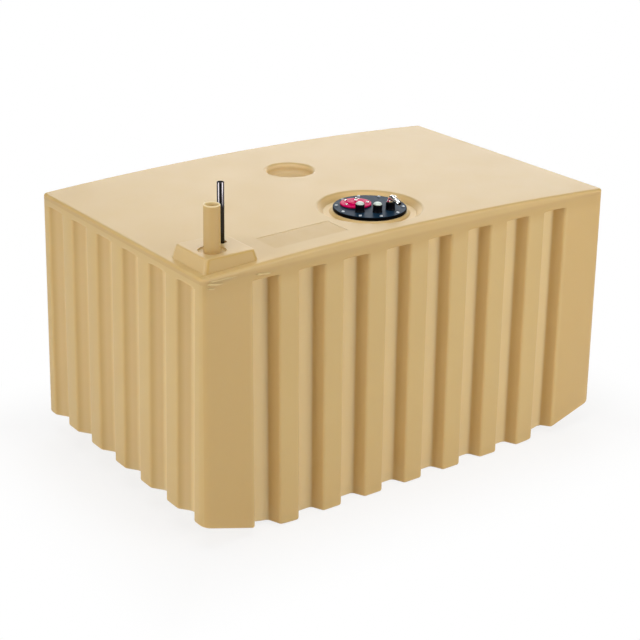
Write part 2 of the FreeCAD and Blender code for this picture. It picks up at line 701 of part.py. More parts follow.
nut = solid("Prism", "terminal_nut", SX, SY, HUB_Z,
            {"Circumradius": "sizes.nut_d / 2", "Height": "sizes.nut_tall"})
nut.Polygon = 6
stud = solid("Cylinder", "terminal_stud", SX, SY, HUB_Z,
             {"Radius": "sizes.stud_d / 2", "Height": "sizes.stud_tall"})
nodes["sender_terminal"] = fuse("sender_terminal", [nut, stud])

# three pick-up fittings, given by their places from the plate's middle; two have a domed plug
FITTING_R = "sizes.fitting_d / 2"
FITTING_Z = TOP + " + sizes.fitting_tall"
PLUG_R = "sizes.plug_d / 2"
for name in ("left", "middle", "right"):
    fx = PX + " + sizes.%s_fit_x" % name
    fy = PY + " + sizes.%s_fit_y" % name
    nodes[name + "_fitting"] = turned_piece(name + "_fitting", fx, fy, TOP, [
        ("0", "0"), (FITTING_R, "0"), (FITTING_R, "sizes.fitting_tall - sizes.fitting_edge"),
        (FITTING_R + " - sizes.fitting_edge", "sizes.fitting_tall"), ("0", "sizes.fitting_tall")])
    if name != "right":
        nodes[name + "_plug"] = turned_piece(name + "_plug", fx, fy, FITTING_Z, [
            ("0", "0"), (PLUG_R, "0"), (PLUG_R, "sizes.plug_rim"),
            ("sizes.plug_face_d / 2", "sizes.plug_shoulder"), ("0", "sizes.plug_tall")])

# the hose elbow on the right fitting: a nut, a bent pipe and a barb that dips towards the front
elbow = new_body("elbow_pipe")
BARB_TURN = "(90 deg + sizes.barb_dip * 1 deg)"
KNEE_Y = "(sizes.elbow_bend * (cos(" + BARB_TURN + ") - 1))"
KNEE_Z = "(sizes.elbow_nut_tall + sizes.elbow_rise + sizes.elbow_bend * sin(" + BARB_TURN + "))"
RISE = "sizes.elbow_nut_tall + sizes.elbow_rise"


def along_barb(distance):
    # a point on the barb's middle line, from the elbow's foot, as distances along Y and Z
    return (KNEE_Y + " - %s * sin(%s)" % (distance, BARB_TURN),
            KNEE_Z + " + %s * cos(%s)" % (distance, BARB_TURN))


spine = new_sketch(elbow, "elbow_spine", "YZ_Plane", x=fy, y=FITTING_Z, z=fx)
outline(spine, [("0", "0"), ("0", RISE), (KNEE_Y, KNEE_Z), along_barb("sizes.barb_reach")],
        {1: (-size("elbow_bend"), number(RISE), False)}, "sizes.elbow_bend", closed=False)
section = new_sketch(elbow, "elbow_section", x=fx, y=fy, z=FITTING_Z)
circle(section, "0", "0", "sizes.elbow_d", "ring")
pipe = elbow.newObject("PartDesign::AdditivePipe", "elbow_bent_pipe")
pipe.Profile = section
pipe.Spine = (spine, ["Edge1", "Edge2", "Edge3"])
for flat in (spine, section):
    flat.Visibility = False


def on_barb(kind, label, distance, measures):
    # a round piece on the barb, turned to its direction
    away_y, away_z = along_barb(distance)
    piece = solid(kind, label, fx, fy + " + " + away_y, FITTING_Z + " + " + away_z, measures)
    piece.Placement.Rotation = FreeCAD.Rotation(V(1, 0, 0), 90 + size("barb_dip"))
    piece.setExpression("Placement.Rotation.Angle", BARB_TURN)
    return piece


ridges = [
    on_barb("Cone", "barb_ridge_%d" % k, "(sizes.barb_reach - sizes.barb_pitch * %d)" % (k + 1), {
        "Radius1": "sizes.elbow_d / 2 + sizes.barb_lip", "Radius2": "sizes.elbow_d / 2",
        "Height": "sizes.barb_tall"})
    for k in range(3)]
elbow_nut = solid("Prism", "elbow_nut", fx, fy, FITTING_Z,
                  {"Circumradius": "sizes.elbow_nut_d / 2", "Height": "sizes.elbow_nut_tall"})
elbow_nut.Polygon = 6
through = on_barb("Cylinder", "elbow_bore", "0", {
    "Radius": "sizes.elbow_bore / 2", "Height": "sizes.barb_reach + sizes.spare"})
hose_elbow = doc.addObject("Part::Cut", "hose_elbow")
hose_elbow.Base = fuse("elbow_solid", [elbow, elbow_nut] + ridges)
hose_elbow.Tool = through
nodes["hose_elbow"] = hose_elbow

# the dark vent tube, whose wider shank is moulded into the pad
SHANK_TOP = "sizes.pad_top_z - sizes.vent_seat_deep"
FREE = "sizes.vent_tall + sizes.vent_seat_deep"
vent_in = "sizes.vent_bore / 2"
vent_out = "sizes.vent_d / 2"
shank_out = "sizes.vent_shank_d / 2"
nodes["vent_tube"] = turned_piece("vent_tube", "sizes.vent_x", "sizes.vent_y", SHANK_TOP, [
    (vent_in, "-sizes.vent_shank_tall"), (shank_out, "-sizes.vent_shank_tall"), (shank_out, "0"),
    (vent_out, "0"), (vent_out, FREE), (vent_in, FREE)])

doc.recompute()
for item in doc.Objects:
    if "Invalid" in item.State or "Error" in item.State:
        raise RuntimeError("not built: " + item.Name)
for node, piece in nodes.items():
    if piece.Shape.isNull() or not piece.Shape.isValid():
        raise RuntimeError("bad shape: " + node)
os.makedirs("parts", exist_ok=True)
for node, piece in nodes.items():
    piece.Label = node
    piece.Shape.exportStep("parts/%s.step" % node)
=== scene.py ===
import math

import bmesh
import bpy
from mathutils import Matrix, Vector


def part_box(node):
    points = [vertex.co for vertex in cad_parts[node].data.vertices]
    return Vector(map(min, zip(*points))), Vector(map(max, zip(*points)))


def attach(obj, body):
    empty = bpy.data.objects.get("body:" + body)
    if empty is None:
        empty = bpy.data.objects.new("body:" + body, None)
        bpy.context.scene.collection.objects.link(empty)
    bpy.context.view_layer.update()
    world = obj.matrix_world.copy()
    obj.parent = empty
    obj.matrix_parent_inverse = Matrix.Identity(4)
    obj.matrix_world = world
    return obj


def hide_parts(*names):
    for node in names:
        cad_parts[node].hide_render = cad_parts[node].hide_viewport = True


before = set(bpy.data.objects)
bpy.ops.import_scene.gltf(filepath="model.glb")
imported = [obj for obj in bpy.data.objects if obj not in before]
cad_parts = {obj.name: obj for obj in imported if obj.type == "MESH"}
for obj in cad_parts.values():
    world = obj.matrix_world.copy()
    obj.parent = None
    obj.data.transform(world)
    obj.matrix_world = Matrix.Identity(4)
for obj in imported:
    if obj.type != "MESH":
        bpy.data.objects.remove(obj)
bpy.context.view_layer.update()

# sizes of the moulding in metres, read from the frame or repeated from its drawing
DECK_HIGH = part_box("tank_deck")[1]
TUB_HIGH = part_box("tank_body")[1]
HALF_LONG = DECK_HIGH.x
HALF_DEEP = DECK_HIGH.y
SPLIT = TUB_HIGH.z
FLARE = TUB_HIGH.y - HALF_DEEP
RIM_CORNER = 0.011
WALL = 0.006
STRAY = 0.0001

# the flutes: their plan, their number along each wall, and the plain walls beside and above them
FLUTE_MOUTH = 0.0655
FLUTE_DEEP = 0.029
FLUTE_RUN = 0.0134
FLUTE_ROUND = 0.0075
FRONT_FLUTES = 8
END_FLUTES = 6
CORNER_PANEL = 0.0938
END_MARGIN = 0.0134
TOP_BAND = 0.014
FRONT_PITCH = (2 * HALF_LONG - 2 * CORNER_PANEL) / FRONT_FLUTES
END_PITCH = (2 * HALF_DEEP - END_MARGIN) / END_FLUTES
FLUTE_TOP = SPLIT - TOP_BAND
# a flute's ceiling, rounded inside and at its mouth: height from its top and the share of depth left there
FLUTE_CEILING = [(-0.0060, 1.0), (-0.0030, 0.975), (-0.0012, 0.92), (-0.0004, 0.82),
                 (0.0004, 0.13), (0.0012, 0.06), (0.0026, 0.015), (0.0045, 0.0)]

# the floor, level in the middle and risen at both ends
FLOOR_RISE = 0.054
RISE_START = 0.380
FLOOR_BEND = 0.450
BEND_STEPS = 6
FOOT_ROUND = 0.0058

# spans of the tub's painted light and shade: depths behind the wall, places along it and heights
FLOOR_DEPTH = (0.0255, 0.0285)
SIDE_DEPTH = (0.003, 0.018)
FLANK_DEPTH = (0.0008, 0.0050)
CORNER_START = (HALF_LONG - 0.115, HALF_LONG - 0.115 + 0.010)
BAND_START = (SPLIT - 0.040, SPLIT - 0.008)

# the bare panel on the deck, and the painted light in strips along its far and right edges
PANEL_X = (-HALF_LONG + 0.2068, -HALF_LONG + 0.3888)
PANEL_Y = (-HALF_DEEP + 0.0510, -HALF_DEEP + 0.1225)
PANEL_SOFT = 0.005
BRINK = 0.0010
BRINK_SOFT = 0.0006
BRINK_END = 0.001

# the filler spout: its middle, and the radii of its bore, stem, mouth and moat wall, which bound its painted
# light and shade
SPOUT = (-0.4782, -0.2672)
SPOUT_BORE = 0.0139
SPOUT_STEM = 0.0178
SPOUT_MOUTH = 0.0200
MOUTH_FADE = (0.0030, 0.0010)
MOAT_WALL = (0.0284, 0.0300)

# the corner pad's sloping outer faces, painted lighter on the left and darker in front: inset and height of
# their foot, slope, and the heights in view
PAD_INSET = 0.0165
PAD_FOOT = 0.5875
PAD_SLOPE = 0.010 / 0.0325
PAD_SPAN = (0.5915, 0.6190)
PAD_TOP = 0.620
PAD_FAR = 0.1435
FACE_SPAN = (-0.0012, 0.0012)
FACE_SOFT = 0.0008

# the deck's upright edge with its painted shade, and its sunken places with their painted light: middle, radius,
# height of the rim and tone
EDGE_FADE = (SPLIT + 0.004, SPLIT + 0.011)
PAINTED_LIGHT_RECESSES = [((-0.0218, -0.1858), 0.1225, 0.6075, (222, 190, 130)),
            ((-0.0090, 0.1340), 0.0620, 0.6075, (224, 196, 146)),
            (SPOUT, 0.0295, 0.6235, (212, 181, 124))]
RECESS_SOFT = 0.002
RIM_FADE = (0.004, 0.0005)

# the vent tube: its seat, the painted highlight stripes below its top, and the painted deck reflection lower
# down
VENT_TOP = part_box("vent_tube")[1].z
VENT_SEAT = 0.0165
VENT_STRIPES = 5
VENT_STRIPE_TURN = math.radians(-77)
GLINT_FADE = (0.052, 0.044)
DECK_REFLECTION_FADE = (0.060, 0.044)

# the hose elbow; its rings are steps along the barb and the radius at the end of each, the last two its bore
ELBOW_DIP = math.radians(16)
ELBOW_BEND = 0.0065
ELBOW_RISE = 0.0042
ELBOW_FOOT = 0.0038
ELBOW_PIPE = 0.0060
ELBOW_RINGS = [(0.0006, 0.0074), (0.0060, 0.0074), (0.0004, 0.0060), (0.0, 0.0047), (0.0030, 0.0047),
               (0.0003, 0.0060), (0.0062, 0.0050), (0.0003, 0.0060), (0.0070, 0.0050), (0.0004, 0.0047),
               (0.0, 0.0042), (-0.0200, 0.0042)]
# painted shade inside the barb's bore: its radius and depth
ELBOW_SHADE_RADIUS = 0.0046
ELBOW_SHADE_DEPTH = 0.0202

# screws: radius and height of the heads, and the radius of their circles
SCREW_RADIUS = 0.0036
PLATE_SCREW_TALL = 0.0024
PLATE_SCREW_CIRCLE = 0.0725
SENDER_SCREW_TALL = 0.0026
SENDER_SCREW_CIRCLE = 0.026

# profiles of the turned pieces, as (radius, height)
FLANGE_TALL = 0.0032
HEAD_TALL = 0.0068
HEAD_RINGS = [(0.0335, 0.0), (0.0343, 0.0004), (0.0345, 0.0012), (0.0343, 0.0022), (0.0335, 0.0030),
              (0.0325, FLANGE_TALL), (0.0212, FLANGE_TALL), (0.0204, 0.0036), (0.0200, 0.0044),
              (0.0198, 0.0056), (0.0192, 0.0065), (0.0182, HEAD_TALL), (0.0150, HEAD_TALL),
              (0.0146, 0.0062), (0.0130, 0.0062), (0.0126, HEAD_TALL), (0.0060, HEAD_TALL)]
NUT_TALL = 0.0030
NUT_RINGS = [(0.0037, 0.0), (0.0040, 0.0004), (0.0040, 0.0026), (0.0036, NUT_TALL), (0.0021, NUT_TALL)]
STUD_TALL = 0.0080
THREAD = [(0.0020 - 0.0003 * (k % 2), NUT_TALL + 0.0005 * k) for k in range(9)]
STUD_RINGS = [*THREAD, (0.0018, 0.0076), (0.0014, STUD_TALL)]
FITTING_TALL = 0.0170
FITTING_RINGS = [(0.0104, 0.0), (0.0107, 0.0003), (0.0107, 0.0020), (0.0104, 0.0026), (0.0101, 0.0030),
                 (0.0101, 0.0142), (0.0104, 0.0147), (0.0104, 0.0162), (0.0100, 0.0168),
                 (0.0096, FITTING_TALL)]
PLUG_TALL = 0.0050
PLUG_RINGS = [(0.0088, 0.0), (0.0093, 0.0004), (0.0093, 0.0011), (0.0088, 0.0019), (0.0079, 0.0029),
              (0.0066, 0.0039), (0.0048, 0.0046), (0.0026, PLUG_TALL)]
HEXAGON_TALL = 0.0040
HEXAGON_RINGS = [(0.0070, 0.0), (0.0077, 0.0006), (0.0077, 0.0034), (0.0070, HEXAGON_TALL),
                 (0.0060, HEXAGON_TALL)]

# lamps: name, place, target, size and power
LAMPS = [("top_lamp", (-0.42, -0.32, 3.0), (-0.1, -0.1, 0.5), (3.0, 2.2), 48.0),
         ("back_lamp", (1.9, 2.5, 1.7), (0.0, 0.0, 0.55), (3.2, 1.6), 56.0),
         ("front_lamp", (1.3, -3.1, 1.1), (0.0, -0.3, 0.3), (2.2, 1.6), 58.0),
         ("left_lamp", (-3.3, -0.5, 1.0), (-0.5, 0.0, 0.3), (2.0, 1.6), 51.0)]


# helpers for modelling

def start(add, **settings):
    """Adds a primitive with nothing else selected and opens it for editing."""
    bpy.ops.object.select_all(action="DESELECT")
    add(**settings)
    bpy.ops.object.mode_set(mode="EDIT")
    return bpy.context.object


def pick(piece, kind, test):
    """Selects the vertices, edges or faces of the open piece that pass a test."""
    bpy.ops.mesh.select_mode(type=kind)
    bpy.ops.mesh.select_all(action="DESELECT")
    mesh = bmesh.from_edit_mesh(piece.data)
    for item in {"VERT": mesh.verts, "EDGE": mesh.edges, "FACE": mesh.faces}[kind]:
        item.select_set(bool(test(item)))
    mesh.select_flush_mode()
    bmesh.update_edit_mesh(piece.data)


def move(x=0.0, y=0.0, z=0.0):
    bpy.ops.transform.translate(value=(x, y, z))


def stretch(x=1.0, y=1.0, z=1.0, about=(0.0, 0.0, 0.0)):
    bpy.ops.transform.resize(value=(x, y, z), center_override=about)


def tidy_normals():
    bpy.ops.mesh.select_all(action="SELECT")
    bpy.ops.mesh.remove_doubles(threshold=0.00002)
    bpy.ops.mesh.normals_make_consistent(inside=False)


def apply_modifier(piece, kind, **settings):
    modifier = piece.modifiers.new(kind.lower(), kind)
    for name, value in settings.items():
        setattr(modifier, name, value)
    bpy.ops.object.modifier_apply(modifier=modifier.name)


def finish_piece(piece, name, finish, slot, *nodes, angle=35):
    """Closes a modelled piece: names it, shades it, gives it its finish and ties it to the frame."""
    if piece.mode == "EDIT":
        bpy.ops.object.mode_set(mode="OBJECT")
    bpy.ops.object.transform_apply(location=True, rotation=True, scale=True)
    bpy.ops.object.shade_smooth_by_angle(angle=math.radians(angle))
    piece.name = name
    piece.data.name = name
    piece.data.materials.clear()
    piece.data.materials.append(finish)
    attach(piece, "root")
    if nodes:
        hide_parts(*nodes)


# helpers for finishes

class Value:
    """A shader value. Arithmetic on it adds Math nodes to its finish."""

    def __init__(self, finish, socket):
        self.finish = finish
        self.socket = socket

    def math(self, operation, a, b=0.0):
        return self.finish.node("ShaderNodeMath", {"operation": operation}, {0: a, 1: b})

    def __add__(self, other):
        return self.math("ADD", self, other)

    def __sub__(self, other):
        return self.math("SUBTRACT", self, other)

    def __mul__(self, other):
        return self.math("MULTIPLY", self, other)

    def __radd__(self, other):
        return self.math("ADD", other, self)

    def __rsub__(self, other):
        return self.math("SUBTRACT", other, self)

    def __rmul__(self, other):
        return self.math("MULTIPLY", other, self)

    def size(self):
        return self.math("ABSOLUTE", self)

    def over(self, level):
        return self.math("GREATER_THAN", self, level)

    def under(self, level):
        return self.math("LESS_THAN", self, level)

    def least(self, other):
        return self.math("MINIMUM", self, other)

    def most(self, other):
        return self.math("MAXIMUM", self, other)


class Finish:
    """A material built from nodes round one Principled shader."""

    def __init__(self, name, **shader):
        self.material = bpy.data.materials.new(name)
        self.material.use_nodes = True
        self.tree = self.material.node_tree
        self.shader = self.tree.nodes["Principled BSDF"]
        for label, value in shader.items():
            self.set(label.replace("_", " "), value)
        self.place = self.node("ShaderNodeTexCoord", {}, {}, "Object")

    def set(self, label, value):
        self.feed(self.shader.inputs[label], value)

    def feed(self, socket, value):
        if isinstance(value, Value):
            self.tree.links.new(value.socket, socket)
        else:
            socket.default_value = value

    def node(self, kind, settings, sockets, output=0):
        node = self.tree.nodes.new(kind)
        for label, value in settings.items():
            setattr(node, label, value)
        for label, value in sockets.items():
            self.feed(node.inputs[label], value)
        return Value(self, node.outputs[output])

    def noise(self, scale, detail=3.0, rough=0.5, where=None):
        return self.node("ShaderNodeTexNoise", {}, {
            "Vector": where or self.place, "Scale": scale, "Detail": detail, "Roughness": rough})

    def blend(self, factor, first, second):
        return self.node("ShaderNodeMix", {"data_type": "RGBA"}, {0: factor, 6: first, 7: second}, 2)

    def axes(self):
        node = self.tree.nodes.new("ShaderNodeSeparateXYZ")
        self.feed(node.inputs[0], self.place)
        return [Value(self, socket) for socket in node.outputs]

    def rise(self, value, low, high):
        """0 below a span and 1 above it, with a soft step between."""
        return self.node("ShaderNodeMapRange", {"interpolation_type": "SMOOTHSTEP"}, {
            "Value": value, "From Min": low, "From Max": high})

    def within(self, value, span, soft):
        """1 between the two ends of a span and 0 outside, with soft borders."""
        low, high = span
        return self.rise(value, low - soft, low + soft) - self.rise(value, high - soft, high + soft)

    def bump(self, height, distance, strength=1.0):
        self.set("Normal", self.node("ShaderNodeBump", {}, {
            "Height": height, "Distance": distance, "Strength": strength}))


def rgb(red, green, blue):
    """A colour as it is seen on the screen, 0 to 255, as the shader's linear colour."""
    shares = [value / 255 for value in (red, green, blue)]
    linear = [c / 12.92 if c <= 0.04045 else ((c + 0.055) / 1.055) ** 2.4 for c in shares]
    return (*linear, 1.0)


# finishes

def polyethylene(name):
    """Natural tan polyethylene, satin and a little translucent, with the faint waves of the mould."""
    tan = Finish(name, IOR=1.5, Specular_IOR_Level=0.36, Subsurface_Weight=0.4,
                 Subsurface_Radius=(1.0, 0.82, 0.58), Subsurface_Scale=0.012)
    cloud = tan.noise(3.0, 2.0)
    colour = tan.blend(cloud, rgb(200, 169, 112), rgb(207, 178, 121))
    shine = 0.38 + 0.10 * tan.noise(14.0, 3.0)
    peel = tan.noise(260.0, 2.0)
    wave = tan.noise(9.0, 1.0)
    tan.bump(peel * 0.05 + wave, 0.0012, 0.25)
    return tan, colour, shine


def tub_finish():
    """The tub: painted light in the floors of its flutes and on the end walls' flute sides, painted warm shade
    on the long walls' flute sides, and painted shade on the corner panels and the band under the deck.
    """
    tan, colour, shine = polyethylene("tan_tub")
    x, y, z = tan.axes()
    reach = (SPLIT - z) * (FLARE / SPLIT)
    behind_end = HALF_LONG + reach - x.size()
    behind_long = HALF_DEEP + reach - y.size()
    on_end = behind_end.under(behind_long)
    depth = behind_end.least(behind_long)
    flute_floor = tan.rise(depth, *FLOOR_DEPTH)
    flute_side = tan.rise(depth, *SIDE_DEPTH)
    # painted shade: a warmer, deeper tan on the flute sides of the front and back walls
    warm = (1.0 - on_end) * tan.rise(depth, *FLANK_DEPTH)
    colour = tan.blend(warm, colour, rgb(206, 172, 111))
    flat = (1.0 - on_end) * (1.0 - flute_side)
    # painted shade: the plain corner panels of the front and back walls a shade darker
    corner_panel = flat * tan.rise(x.size(), *CORNER_START)
    colour = tan.blend(corner_panel * 0.8, colour, rgb(200, 167, 109))
    # painted shade: the plain band at the top of the front and back walls, under the deck, darker
    colour = tan.blend(flat * tan.rise(z, *BAND_START), colour, rgb(197, 164, 106))
    # painted light: the flute floors, and on the end walls the flute sides too, paler than the ribs
    pale = flute_floor + on_end * (flute_side - flute_floor)
    tan.set("Base Color", tan.blend(pale, colour, rgb(219, 193, 143)))
    tan.set("Roughness", shine)
    return tan.material


def deck_finish():
    """The deck: painted shade on its upright edge, the spout's stem and the pad's front face; painted light in
    its recesses, on the moat wall, the spout's mouth and glowing bore, the pad's left face and along the bare
    panel's far and right edges; and the bare panel itself darker and worn.
    """
    tan, colour, shine = polyethylene("tan_deck")
    x, y, z = tan.axes()
    inside = tan.within(x, PANEL_X, PANEL_SOFT) * tan.within(y, PANEL_Y, PANEL_SOFT)
    wear_and_glint = inside * tan.node("ShaderNodeMapRange", {}, {
        "Value": tan.noise(22.0, 4.0), "From Min": 0.3, "From Max": 0.7, "To Min": 0.45, "To Max": 1.0})
    # painted shade: the deck's upright edge darker, matching the painted band on the walls below
    edge = 1.0 - tan.rise(z, *EDGE_FADE)
    colour = tan.blend(edge, colour, rgb(197, 163, 107))
    # painted light: each recess paler than the deck, out to its radius and below its rim
    for place, radius, rim, tone in PAINTED_LIGHT_RECESSES:
        away_x, away_y = x - place[0], y - place[1]
        off_middle = away_x * away_x + away_y * away_y
        near = 1.0 - tan.rise(off_middle, radius ** 2, (radius + RECESS_SOFT) ** 2)
        below = 1.0 - tan.rise(z, rim - RIM_FADE[0], rim - RIM_FADE[1])
        colour = tan.blend(near * below, colour, rgb(*tone))
    bored_x, bored_y = x - SPOUT[0], y - SPOUT[1]
    off_axis = bored_x * bored_x + bored_y * bored_y
    bore = off_axis.under(SPOUT_BORE ** 2)
    stem = off_axis.under(SPOUT_STEM ** 2) * z.over(PAD_TOP - 0.001)
    moat_ring = off_axis.over(MOAT_WALL[0] ** 2) * off_axis.under(MOAT_WALL[1] ** 2)
    moat_wall = moat_ring * z.under(PAD_TOP - 0.0003)
    lip = tan.rise(z, DECK_HIGH.z - MOUTH_FADE[0], DECK_HIGH.z - MOUTH_FADE[1])
    mouth = off_axis.under(SPOUT_MOUTH ** 2) * lip
    # painted light: the moat's wall much paler
    colour = tan.blend(moat_wall, colour, rgb(240, 222, 184))
    # painted shade: the spout's stem darker
    colour = tan.blend(stem, colour, rgb(195, 164, 107))
    # painted light: the spout's top lip paler
    colour = tan.blend(mouth, colour, rgb(228, 205, 160))
    # painted light: the spout's bore pale inside
    colour = tan.blend(bore, colour, rgb(240, 218, 174))
    # painted light: pale strips along the bare panel's far and right edges, over its low step
    far_edge = tan.within(y, (PANEL_Y[1] - BRINK, PANEL_Y[1] + BRINK), BRINK_SOFT)
    right_edge = tan.within(x, (PANEL_X[1] - BRINK, PANEL_X[1] + BRINK), BRINK_SOFT)
    brink_y = far_edge * tan.within(x, PANEL_X, BRINK_END)
    brink_x = right_edge * tan.within(y, PANEL_Y, BRINK_END)
    colour = tan.blend(wear_and_glint, colour, rgb(198, 166, 106))
    colour = tan.blend(brink_x + brink_y, colour, rgb(216, 191, 143))
    lean = (z - PAD_FOOT) * PAD_SLOPE
    shown = tan.within(z, PAD_SPAN, FACE_SOFT)
    front = tan.within(y + (HALF_DEEP - PAD_INSET) - lean, FACE_SPAN, FACE_SOFT) * shown
    left = tan.within(x + (HALF_LONG - PAD_INSET) - lean, FACE_SPAN, FACE_SOFT) * shown
    # painted light on the pad's left face, and painted shade on its front face
    colour = tan.blend(left * y.under(PAD_FAR - HALF_DEEP), colour, rgb(209, 180, 127))
    colour = tan.blend(front * x.under(PAD_FAR - HALF_LONG), colour, rgb(192, 158, 89))
    tan.set("Base Color", colour)
    # painted light: the bore also glows faintly, though it is no lamp
    tan.set("Emission Color", tan.blend(bore, rgb(0, 0, 0), rgb(150, 128, 94)))
    tan.set("Emission Strength", 0.16)
    tan.set("Roughness", shine + wear_and_glint * 0.06)
    return tan.material


def flash_finish():
    """The thin flash, painted paler than the walls as light that passes through it."""
    tan, colour, shine = polyethylene("tan_flash")
    # painted light: the flash half way to a paler tan
    tan.set("Base Color", tan.blend(0.5, colour, rgb(220, 193, 138)))
    tan.set("Roughness", shine)
    return tan.material


def plate_plastic():
    """The sender plate: a black edge and a top with a painted blue sheen."""
    black = Finish("black_plate_plastic", IOR=1.5, Specular_IOR_Level=0.03, Specular_Tint=(0.6, 0.8, 1.0, 1.0))
    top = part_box("sender_plate")[1].z
    x, y, z = black.axes()
    face = z.over(top - 0.0004)
    # painted reflection: the top face takes a blue sheen, the edge stays near black
    sheen = black.blend(black.noise(38.0), rgb(16, 40, 58), rgb(30, 54, 74))
    black.set("Base Color", black.blend(face, rgb(7, 7, 9), sheen))
    black.set("Roughness", 0.34 + 0.14 * black.noise(90.0))
    black.bump(black.noise(900.0, 2.0), 0.0002, 0.2)
    return black.material


def black_plastic():
    black = Finish("black_fitting_plastic", IOR=1.5, Specular_IOR_Level=0.10)
    black.set("Base Color", black.blend(black.noise(60.0), rgb(9, 9, 12), rgb(17, 18, 23)))
    black.set("Roughness", 0.24 + 0.12 * black.noise(90.0))
    black.bump(black.noise(900.0, 2.0), 0.0002, 0.2)
    return black.material


def black_rubber():
    rubber = Finish("black_gasket_rubber", IOR=1.5)
    rubber.set("Base Color", rubber.blend(rubber.noise(120.0), rgb(14, 14, 14), rgb(26, 26, 27)))
    rubber.set("Roughness", 0.6 + 0.2 * rubber.noise(300.0))
    return rubber.material


def red_plastic():
    red = Finish("red_sender_plastic", IOR=1.5, Specular_IOR_Level=0.025)
    red.set("Base Color", red.blend(red.noise(80.0), rgb(198, 0, 70), rgb(224, 0, 106)))
    red.set("Roughness", 0.20 + 0.1 * red.noise(200.0))
    return red.material


def bright_steel():
    steel = Finish("bright_screw_steel", Metallic=1.0)
    steel.set("Base Color", steel.blend(steel.noise(400.0), rgb(222, 224, 222), rgb(244, 245, 243)))
    steel.set("Roughness", 0.14 + 0.14 * steel.noise(700.0))
    return steel.material


def zinc_steel():
    """Dull zinc of the plate's screws."""
    zinc = Finish("zinc_screw_steel", Metallic=0.5)
    zinc.set("Base Color", zinc.blend(zinc.noise(400.0), rgb(204, 211, 217), rgb(228, 233, 237)))
    zinc.set("Roughness", 0.30 + 0.14 * zinc.noise(700.0))
    return zinc.material


def plug_steel():
    """Satin steel of the two blanking plugs."""
    satin = Finish("satin_plug_steel", Metallic=0.25)
    satin.set("Base Color", satin.blend(satin.noise(300.0), rgb(196, 210, 200), rgb(214, 227, 217)))
    satin.set("Roughness", 0.36 + 0.12 * satin.noise(500.0))
    return satin.material


def chrome():
    """Polished plating, with painted shade in its bore."""
    plated = Finish("elbow_chrome")
    foot, knee, ahead = elbow_line()
    mouth = foot + knee + ahead * sum(step for step, radius in ELBOW_RINGS if step > 0)
    x, y, z = plated.axes()
    x, y, z = x - mouth.x, y - mouth.y, z - mouth.z
    across = z * -ahead.y + y * ahead.z
    along = y * ahead.y + z * ahead.z
    # painted shade: the bore dark and dull
    bore = (x * x + across * across).under(ELBOW_SHADE_RADIUS ** 2) * along.over(-ELBOW_SHADE_DEPTH)
    plate = plated.blend(plated.noise(250.0), rgb(228, 229, 231), rgb(246, 246, 246))
    plated.set("Base Color", plated.blend(bore, plate, rgb(12, 12, 14)))
    plated.set("Metallic", 1.0 - bore)
    plated.set("Roughness", 0.12 + 0.08 * plated.noise(500.0) + bore * 0.5)
    return plated.material


def dark_tube():
    """A black tube with painted highlights in long bright metal streaks near its top, and painted reflection of
    the deck in brown below.
    """
    tube = Finish("vent_black_painted_glints", IOR=1.45, Specular_IOR_Level=0.22)
    along_tube = tube.node("ShaderNodeMapping", {}, {"Vector": tube.place, "Scale": (1.0, 1.0, 0.02)})
    foot = middle("vent_tube")
    x, y, z = tube.axes()
    turn = x.math("ARCTAN2", y - foot.y, x - foot.x)
    wander = 0.35 * tube.noise(140.0, 2.0, 0.4, along_tube)
    stripe = x.math("COSINE", (turn - VENT_STRIPE_TURN + wander) * VENT_STRIPES)
    # painted highlight: metal streaks only near the top, turned to where the highlights fall
    wear_and_glint = tube.rise(stripe, 0.25, 0.65) * tube.rise(z, VENT_TOP - GLINT_FADE[0], VENT_TOP - GLINT_FADE[1])
    upper = tube.rise(z, VENT_TOP - DECK_REFLECTION_FADE[0], VENT_TOP - DECK_REFLECTION_FADE[1])
    # painted reflection: the deck's brown below, black above
    reflected_deck = tube.blend(upper, rgb(34, 27, 12), rgb(7, 6, 4))
    tube.set("Base Color", tube.blend(wear_and_glint, reflected_deck, rgb(118, 114, 117)))
    tube.set("Metallic", wear_and_glint)
    tube.set("Roughness", 0.10 + 0.08 * tube.noise(300.0))
    return tube.material


# the fluted tub

def wall_reach(z):
    """How far the drafted wall stands out past the rim at a height."""
    return FLARE * (1 - z / SPLIT)


def wall_of(point):
    """The wall that a point of the outline belongs to: front, back, left, right or a corner."""
    x, y = point.x, point.y
    well_inside, corner_band = 0.5, 0.010
    on_long = abs(x) < HALF_LONG - RIM_CORNER + STRAY and abs(y) > HALF_DEEP - corner_band
    if abs(x) < well_inside or on_long:
        return "front" if y < 0 else "back"
    if abs(y) < HALF_DEEP - RIM_CORNER + STRAY:
        return "left" if x < 0 else "right"
    return "corner"


def trace(points):
    """Draws an outline corner by corner and fills it with one face."""
    piece = start(bpy.ops.mesh.primitive_plane_add, size=0.01)
    bpy.ops.mesh.merge(type="CENTER")
    first = points[0]
    move(*first)
    for before, after in zip(points, points[1:]):
        step = Vector(after) - Vector(before)
        bpy.ops.mesh.extrude_vertices_move(TRANSFORM_OT_translate={"value": step})
    ends = (Vector(first), Vector(points[-1]))
    pick(piece, "VERT", lambda v: min((v.co - end).length for end in ends) < STRAY)
    bpy.ops.mesh.edge_face_add()
    bpy.ops.mesh.select_all(action="SELECT")
    bpy.ops.mesh.edge_face_add()
    return piece


def flute_corners(middle):
    """Corners of one flute along its wall, as (place along the wall, depth behind it)."""
    mouth = FLUTE_MOUTH / 2
    floor = mouth - FLUTE_RUN
    return [(middle - mouth, 0.0), (middle - floor, FLUTE_DEEP),
            (middle + floor, FLUTE_DEEP), (middle + mouth, 0.0)]


def wall_corners(count, pitch):
    middles = [pitch * (k - (count - 1) / 2) for k in range(count)]
    return [corner for middle in middles for corner in flute_corners(middle)]


